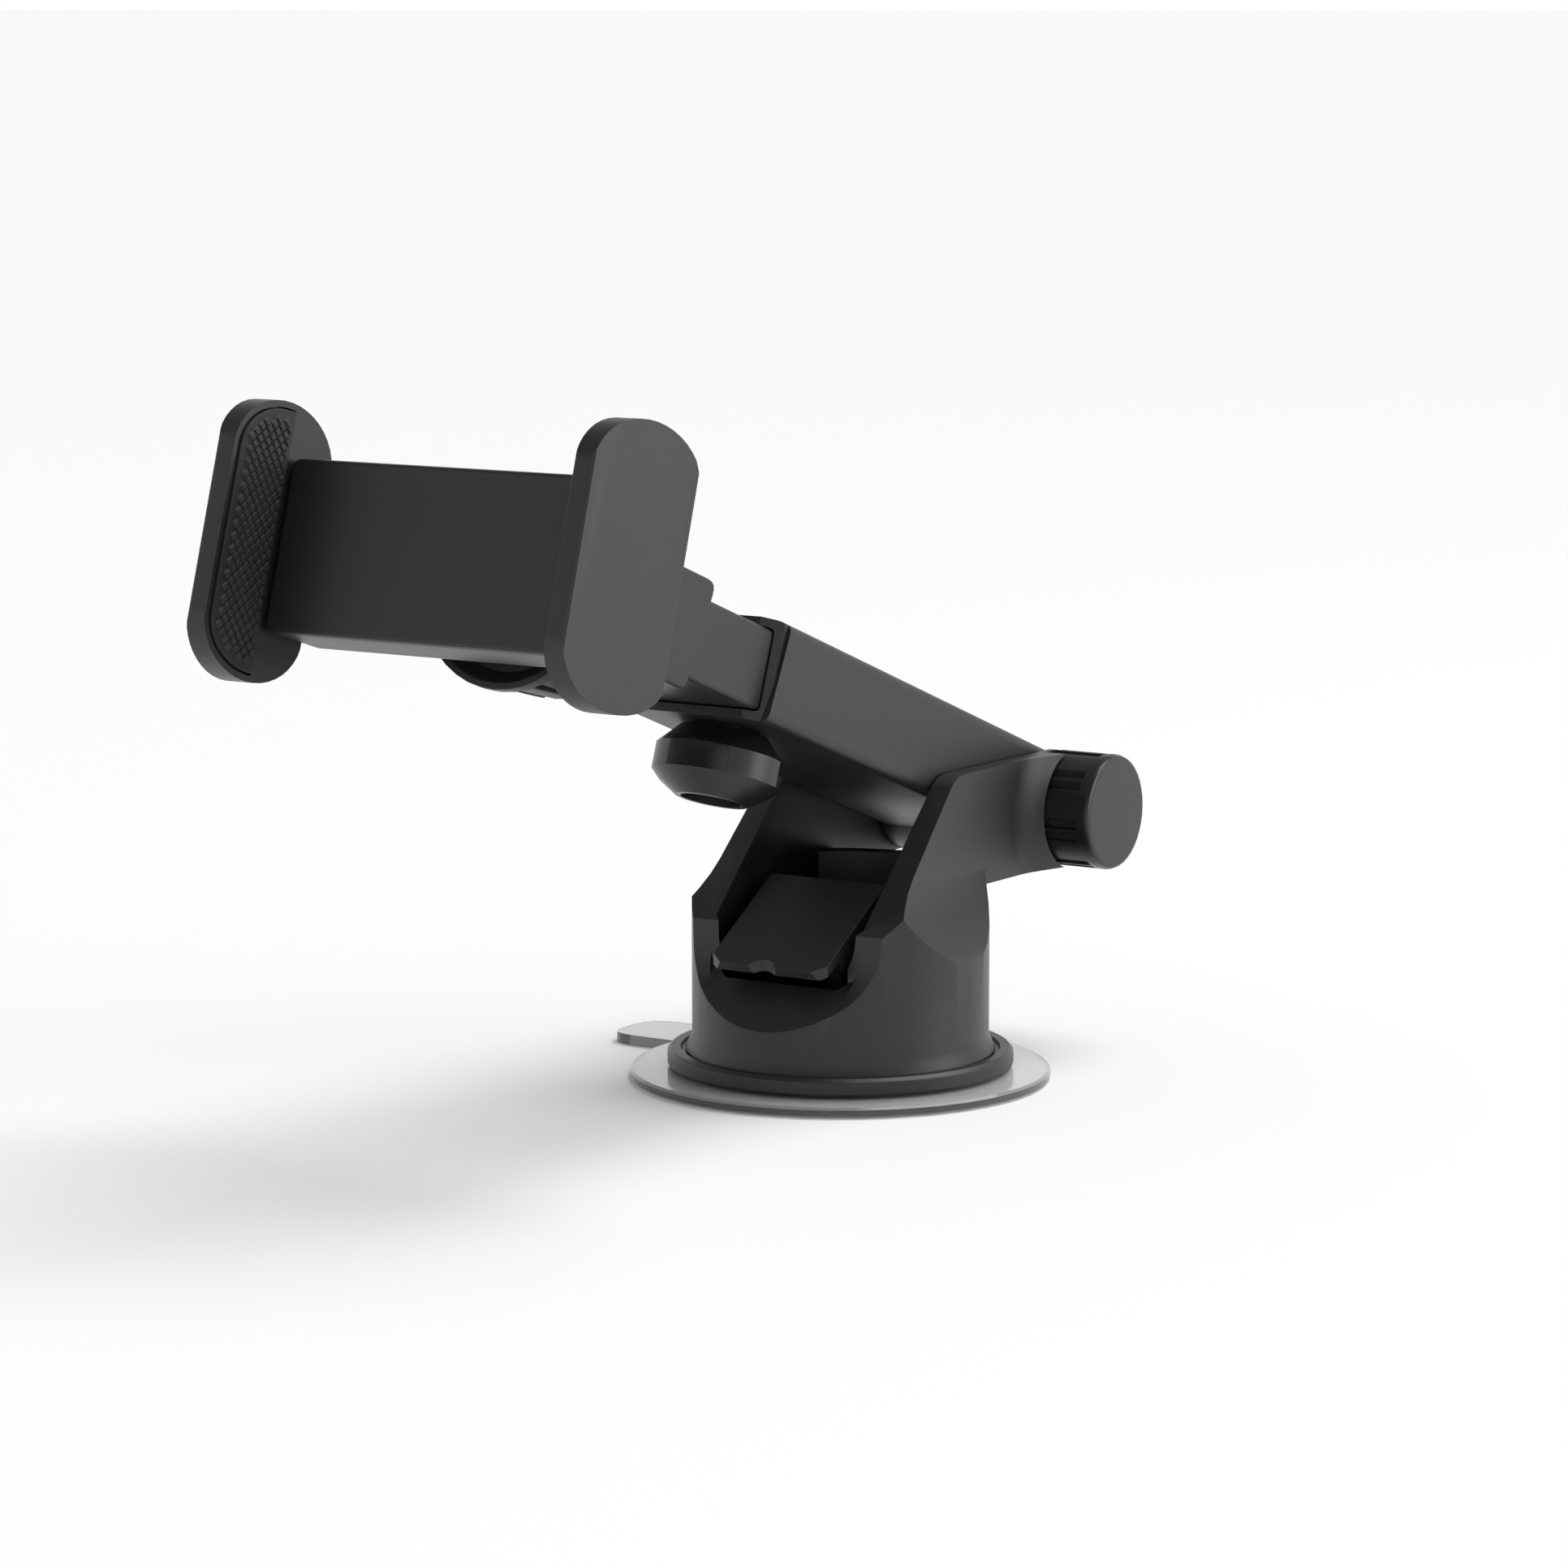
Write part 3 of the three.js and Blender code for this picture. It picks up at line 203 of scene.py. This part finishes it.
satin_black = plastic_finish(
    "satin_black_plastic", (0.008, 0.008, 0.009), (0.022, 0.022, 0.023), 0.40, 2600, 0.00003)
knob_black = plastic_finish(
    "knob_black_plastic", (0.007, 0.007, 0.008), (0.020, 0.020, 0.021), 0.30, 2600, 0.00002)
pad_rubber = plastic_finish(
    "pad_rubber", (0.006, 0.006, 0.007), (0.018, 0.018, 0.019), 0.62, 3500, 0.00004)
natural_nylon = plastic_finish(
    "natural_nylon", (0.55, 0.53, 0.47), (0.68, 0.66, 0.6), 0.5, 1800, 0.00002)

# %% [markdown]
# Metal shows fine marks from turning or plating. A stretched noise across the piece gives them,
# and the same noise varies the roughness.

# %% A finish for metal
def metal_finish(name, dark, light, roughness):
    material = bpy.data.materials.new(name)
    material.use_nodes = True
    tree = material.node_tree
    shader = tree.nodes["Principled BSDF"]
    shader.inputs["Metallic"].default_value = 1
    position = tree.nodes.new("ShaderNodeTexCoord").outputs["Object"]
    stretch = tree.nodes.new("ShaderNodeMapping")
    stretch.inputs["Scale"].default_value = (1, 12, 12)
    tree.links.new(position, stretch.inputs["Vector"])
    surface = place_group(tree, grain, {"Grain per metre": 400, "Base roughness": roughness,
                                        "Roughness change": 0.15}, stretch.outputs["Vector"])
    colour = tree.nodes.new("ShaderNodeMix")
    colour.data_type = "RGBA"
    colour.inputs["A"].default_value = (*dark, 1)
    colour.inputs["B"].default_value = (*light, 1)
    tree.links.new(surface.outputs["Height"], colour.inputs["Factor"])
    tree.links.new(colour.outputs["Result"], shader.inputs["Base Color"])
    tree.links.new(surface.outputs["Roughness"], shader.inputs["Roughness"])
    bump = tree.nodes.new("ShaderNodeBump")
    bump.inputs["Distance"].default_value = 0.00002
    tree.links.new(surface.outputs["Height"], bump.inputs["Height"])
    tree.links.new(bump.outputs["Normal"], shader.inputs["Normal"])
    return material


plated_steel = metal_finish("plated_steel", (0.42, 0.43, 0.45), (0.66, 0.67, 0.69), 0.28)
turned_brass = metal_finish("turned_brass", (0.5, 0.36, 0.16), (0.72, 0.56, 0.28), 0.32)

# %% [markdown]
# The suction disc is a clear soft gel. Its colour is painted by how level the surface is. A painted
# highlight makes its top nearly white, as if the floor showed through, and painted shade makes its
# rim grey. Faint flow lines vary its gloss.

# %% Clear gel
def gel_finish():
    material = bpy.data.materials.new("clear_gel")
    material.use_nodes = True
    tree = material.node_tree
    shader = tree.nodes["Principled BSDF"]
    shader.inputs["Transmission Weight"].default_value = 0.75
    shader.inputs["IOR"].default_value = 1.42
    coordinates = tree.nodes.new("ShaderNodeTexCoord")
    position = coordinates.outputs["Object"]
    facing = tree.nodes.new("ShaderNodeSeparateXYZ")
    tree.links.new(coordinates.outputs["Normal"], facing.inputs["Vector"])
    flatness = math_node(tree, "ABSOLUTE", facing.outputs["Z"])
    # Painted light and shade: level faces get a near-white colour and the steep rim a grey one.
    painted_top_light_rim_shade = tree.nodes.new("ShaderNodeMix")
    painted_top_light_rim_shade.data_type = "RGBA"
    painted_top_light_rim_shade.inputs["A"].default_value = (0.20, 0.205, 0.21, 1)
    painted_top_light_rim_shade.inputs["B"].default_value = (0.95, 0.955, 0.96, 1)
    tree.links.new(math_node(tree, "POWER", flatness, 1.5), painted_top_light_rim_shade.inputs["Factor"])
    tree.links.new(painted_top_light_rim_shade.outputs["Result"], shader.inputs["Base Color"])
    surface = place_group(tree, grain, {"Grain per metre": 140, "Base roughness": 0.12,
                                        "Roughness change": 0.1}, position)
    tree.links.new(surface.outputs["Roughness"], shader.inputs["Roughness"])
    bump = tree.nodes.new("ShaderNodeBump")
    bump.inputs["Distance"].default_value = 0.00004
    tree.links.new(surface.outputs["Height"], bump.inputs["Height"])
    tree.links.new(bump.outputs["Normal"], shader.inputs["Normal"])
    return material


clear_gel = gel_finish()
finish_of_slot = {
    "black_plastic": satin_black, "rubber": pad_rubber, "nylon": natural_nylon,
    "steel": plated_steel, "brass": turned_brass, "clear_gel": clear_gel,
}

# %% [markdown]
# Every piece of the frame gets the finish of its slot, the hidden ones too, because they show
# when the object is taken apart.

# %% Finishes on the CAD pieces
slot_of_node = {entry["node"]: entry["material_slot"] for entry in frame["record"]["subparts"]}
body_of_node = {node: body for body, nodes in frame["record"]["behaviour"]["bodies"].items()
                for node in nodes}
for name, node in frame["nodes"].items():
    node.data.materials.clear()
    node.data.materials.append(finish_of_slot[slot_of_node[name]])
print("slots used:", sorted(set(slot_of_node.values())))

# %% [markdown]
# ## Rounded pieces
# No moulded edge is truly sharp: it has a radius that catches the light as a thin line. Most of
# the CAD pieces have the right shape but knife edges, so a copy of each is merged into one
# surface, its flat faces are joined up, and a Bevel modifier rounds the edges.

# %% Selecting and finishing
def deselect_all():
    bpy.ops.object.select_all(action="DESELECT")


def make_active(obj):
    deselect_all()
    obj.select_set(True)
    bpy.context.view_layer.objects.active = obj


def in_edit_mode(obj, *steps):
    make_active(obj)
    bpy.ops.object.mode_set(mode="EDIT")
    for step in steps:
        step()
    bpy.ops.object.mode_set(mode="OBJECT")


def apply_modifier(piece, name, kind, **settings):
    modifier = piece.modifiers.new(name, kind)
    for label, value in settings.items():
        setattr(modifier, label, value)
    make_active(piece)
    bpy.ops.object.modifier_apply(modifier=modifier.name)


def finish_piece(piece, node, finish, smooth_angle=35):
    make_active(piece)
    bpy.ops.object.shade_smooth_by_angle(angle=math.radians(smooth_angle))
    apply_modifier(piece, "even_shading", "WEIGHTED_NORMAL", keep_sharp=True, weight=80)
    piece.data.materials.clear()
    piece.data.materials.append(finish)
    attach(piece, body_of_node[node])
    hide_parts(node)
    return piece


def add_bevel(piece, width, segments=3, angle=30):
    apply_modifier(
        piece, "rounded_edges", "BEVEL", width=width * MM, segments=segments, limit_method="ANGLE",
        angle_limit=math.radians(angle), use_clamp_overlap=True, miter_outer="MITER_ARC",
    )


def merged_copy(node, name):
    source = frame["nodes"][node]
    copy = bpy.data.objects.new(name, source.data.copy())
    bpy.context.collection.objects.link(copy)
    in_edit_mode(
        copy,
        lambda: bpy.ops.mesh.select_all(action="SELECT"),
        lambda: bpy.ops.mesh.remove_doubles(threshold=0.000004),
        lambda: bpy.ops.mesh.dissolve_limited(angle_limit=math.radians(1.0)),
    )
    return copy


def rounded(node, name, width, finish, segments=3, angle=30, smooth_angle=35):
    piece = merged_copy(node, name)
    add_bevel(piece, width, segments, angle)
    finish_piece(piece, node, finish, smooth_angle)
    print(name, len(piece.data.polygons), "faces")
    return piece


# %% [markdown]
# ## Suction base
# The disc is cast in soft gel, and a flat ring presses its rim down. The housing is one moulding
# with two ears. Its lever is a folded channel that pulls a stem, and with it the disc's middle.
# Each could be modelled afresh, but the CAD shapes are right, so only their edges are rounded:
# widely where the real moulding is soft, and narrowly on the lever.

# %% Disc, ring, housing and lever
rounded("suction_pad", "gel_disc", 0.35, clear_gel)
rounded("base_ring", "pressure_ring", 0.3, satin_black)
rounded("base_body", "base_housing", 0.5, satin_black, smooth_angle=50)
rounded("lock_lever", "locking_lever", 0.25, satin_black)
rounded("plunger_stem", "lever_stem", 0.3, satin_black)

# %% [markdown]
# ## Arm
# The arm is two rectangular tubes, one in the other. The outer one turns on a bolt through the
# ears, which a fluted hand knob tightens. A second knob below it presses a shoe on the inner one.
# The knobs are glossier than the tubes, since they come from a polished mould.

# %% Tubes and hand knobs
rounded("pivot_knob", "arm_hand_knob", 0.25, knob_black)
rounded("outer_arm", "outer_arm_tube", 0.3, satin_black)
rounded("inner_arm", "inner_arm_tube", 0.4, satin_black)
rounded("arm_head", "arm_end_block", 0.5, satin_black)
rounded("clamp_knob", "slide_hand_knob", 0.35, knob_black)

# %% [markdown]
# ## Ball joint and cradle
# A cup behind the cradle holds the ball, and a ring nut squeezes it. The cradle is a shallow box
# of two halves with a jaw on each side. The jaws have the widest rounding, because they touch
# the phone and the hand.

# %% Cup, nut, cradle and jaws
rounded("socket_cup", "ball_socket", 0.3, satin_black)
rounded("ring_nut", "ball_ring_nut", 0.3, satin_black)
rounded("tray_back", "cradle_back", 0.4, satin_black)
rounded("tray_front", "cradle_front", 1.0, satin_black)
rounded("left_jaw", "left_clamp_jaw", 0.9, satin_black)
rounded("right_jaw", "right_clamp_jaw", 0.9, satin_black)

# %% [markdown]
# ## Grip pads
# Each jaw carries a soft pad whose face is covered with small raised diamonds, so that a phone
# doesn't slip. One diamond is modelled as a four-sided stud, copied over the face in staggered
# rows, and the copies are joined to a rounded plate.

# %% One diamond stud
PAD_PITCH = 1.9 * MM
STUD_HEIGHT = 0.4 * MM
STUD_FOOT = 0.86 * MM
STUD_TOP = 0.58 * MM


def diamond_stud(face_x, depth, height, side):
    bpy.ops.mesh.primitive_cone_add(
        vertices=4, radius1=STUD_FOOT, radius2=STUD_TOP, depth=STUD_HEIGHT,
    )
    stud = bpy.context.object
    upright = Matrix.Rotation(-side * math.pi / 2, 4, "Y")
    place = Matrix.Translation((face_x - side * STUD_HEIGHT / 2, -depth, height))
    stud.data.transform(cradle_frame @ place @ upright)
    stud.matrix_world = Matrix.Identity(4)
    return stud


# %% A pad with its diamonds
PAD_STRAIGHT = 12.6 * MM  # half of the pad's straight edge
BLADE_REACH = 15 * MM  # beyond this height a jaw is only its blade, with no rack
FIRST_COLUMN = 1.1 * MM
STUD_MARGIN = 1.2 * MM


def cradle_corners(piece):
    into_cradle = cradle_frame.inverted()
    return [into_cradle @ vertex.co for vertex in piece.data.vertices]


def jaw_depths():
    jaw = cradle_corners(frame["nodes"]["right_jaw"])
    blade = [-corner.y for corner in jaw if abs(corner.z) > BLADE_REACH]
    return min(blade), max(blade)


def grip_pad(side, node, name):
    plate = merged_copy(node, name)
    add_bevel(plate, 0.15, 2)
    corners = cradle_corners(plate)
    near = min(-corner.y for corner in corners)
    far = max(-corner.y for corner in corners)
    top = max(corner.z for corner in corners)
    face_x = side * min(abs(corner.x) for corner in corners)
    middle = sum(jaw_depths()) / 2
    studs = []
    rows = int(2 * top / PAD_PITCH) + 1
    columns = int((far - near) / PAD_PITCH) + 2
    for row in range(-rows, rows + 1):
        height = row * PAD_PITCH / 2
        for column in range(columns):
            depth = near + FIRST_COLUMN + (column + (row % 2) / 2) * PAD_PITCH
            share = (depth - middle) / (far - middle)
            if abs(share) > 0.9 or depth > far - STUD_MARGIN:
                continue
            edge = PAD_STRAIGHT + (top - PAD_STRAIGHT) * math.sqrt(1 - share ** 2)
            if abs(height) < edge - STUD_MARGIN:
                studs.append(diamond_stud(face_x, depth, height, side))
    deselect_all()
    for stud in studs:
        stud.select_set(True)
    plate.select_set(True)
    bpy.context.view_layer.objects.active = plate
    bpy.ops.object.join()
    finish_piece(plate, node, pad_rubber, 20)
    print(name, len(studs), "diamonds")
    return plate


grip_pad(-1, "left_jaw_pad", "left_grip_pad")
grip_pad(1, "right_jaw_pad", "right_grip_pad")

# %% [markdown]
# ## Floor and light
# A plain white floor under a pale sky that is brightest near the ground and darker overhead. The
# sides of the object then shine softly and its upward faces stay dark. A wide sun from above
# keeps the floor white, and a soft box at the right draws the highlights on the knobs and edges.

# %% Floor
bpy.ops.mesh.primitive_plane_add(size=400, location=(0, 0, -0.0001))
floor = bpy.context.object
floor.name = "floor"
floor_finish = bpy.data.materials.new("pale_floor")
floor_finish.use_nodes = True
floor_shader = floor_finish.node_tree.nodes["Principled BSDF"]
floor_shader.inputs["Base Color"].default_value = (0.92, 0.92, 0.92, 1)
floor_shader.inputs["Roughness"].default_value = 0.9
floor_shader.inputs["Specular IOR Level"].default_value = 0.1
floor.data.materials.append(floor_finish)

# %% Sky
world = bpy.data.worlds.new("surround")
bpy.context.scene.world = world
world.use_nodes = True
sky = world.node_tree
direction = sky.nodes.new("ShaderNodeTexCoord").outputs["Generated"]
split = sky.nodes.new("ShaderNodeSeparateXYZ")
sky.links.new(direction, split.inputs["Vector"])
fade = sky.nodes.new("ShaderNodeMapRange")
fade.interpolation_type = "SMOOTHSTEP"
fade.inputs["From Min"].default_value = 0.1
fade.inputs["From Max"].default_value = 0.75
fade.inputs["To Min"].default_value = 1.0
fade.inputs["To Max"].default_value = 0.22
sky.links.new(split.outputs["Z"], fade.inputs["Value"])
background = sky.nodes["Background"]
background.inputs["Color"].default_value = (1, 1, 1, 1)
sky.links.new(fade.outputs["Result"], background.inputs["Strength"])

# %% Lights
def add_light(name, kind, energy, place, target):
    light = bpy.data.objects.new(name, bpy.data.lights.new(name, kind))
    bpy.context.collection.objects.link(light)
    light.data.energy = energy
    light.location = place
    light.rotation_euler = (Vector(target) - Vector(place)).to_track_quat("-Z", "Y").to_euler()
    return light


sun = add_light("overhead_sun", "SUN", 2.3, (0.5, 0.6, 1.6), (0, 0, 0))
sun.data.angle = math.radians(50)
right_box = add_light("right_softbox", "AREA", 4.0, (1.1, 0.5, 0.35), (0, 0, 0.06))
right_box.data.size = 0.7
bpy.context.scene.view_settings.view_transform = "Standard"
